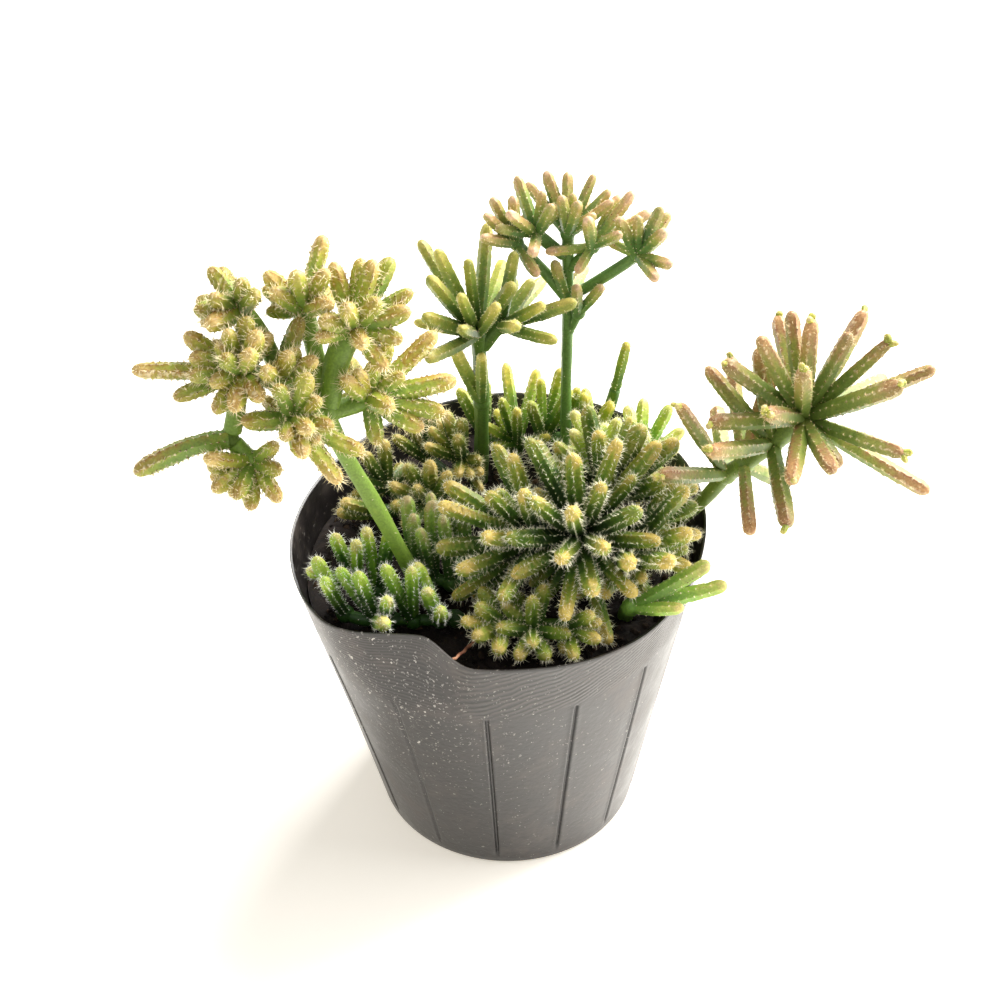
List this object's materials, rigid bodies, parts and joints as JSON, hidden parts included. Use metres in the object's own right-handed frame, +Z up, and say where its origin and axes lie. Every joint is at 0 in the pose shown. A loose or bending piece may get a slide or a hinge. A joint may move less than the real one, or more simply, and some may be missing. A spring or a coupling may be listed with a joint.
{
  "type": "potted rhipsalis",
  "caption": "Bristly jointed rhipsalis in a soft black nursery pot: dense rosette and low tufts on the soil, taller sprays leaning left, right and back.",
  "frame": {"origin": "middle of the underside of the pot's base, on the surface that the pot stands on", "axes": "+Z up; -Y is the front, the side with the pressed-in rim and the rootlet; +X is the side of the long spray with mauve tips"},
  "size_m": [0.1566, 0.0924, 0.1494],
  "materials": {
    "pot_vinyl": "soft thin black vinyl, satin, with white water specks",
    "potting_soil": "damp dark peat and bark, matt",
    "dry_root": "dry reddish rootlet, matt",
    "mauve_shoots": "waxy skin, green with mauve-tan tips and pale bristles",
    "tan_shoots": "waxy skin, sun-tanned ochre green with cream bristles",
    "olive_shoots": "waxy skin, olive with tan tips",
    "grey_green_shoots": "waxy skin, grey-green",
    "dark_green_shoots": "waxy skin, dark green with yellow-green tips and cream bristles",
    "yellow_green_shoots": "waxy skin, yellow-green with cream bristles",
    "fresh_green_stems": "smooth waxy skin, fresh green",
    "fresh_green_shoots": "waxy skin, fresh green with fine white hairs",
    "shaded_green_shoots": "waxy skin, deep green",
    "moss_green_shoots": "waxy skin, moss green with yellow tips",
    "olive_upright_shoots": "waxy skin, olive green",
    "pale_green_shoots": "waxy skin, pale green"
  },
  "bodies": {
    "root": {"pot": "pot_vinyl", "soil": "potting_soil", "dry_rootlet": "dry_root", "right_spray": "mauve_shoots", "left_spray": "tan_shoots", "back_spray": "olive_shoots", "back_left_spray": "grey_green_shoots", "centre_rosette": "dark_green_shoots", "front_low_tuft": "yellow_green_shoots", "right_low_stems": "fresh_green_stems", "front_left_tuft": "fresh_green_shoots", "front_middle_tuft": "shaded_green_shoots", "mid_left_tuft": "moss_green_shoots", "back_tuft": "olive_upright_shoots", "right_back_tuft": "pale_green_shoots"}
  },
  "joints": []
}
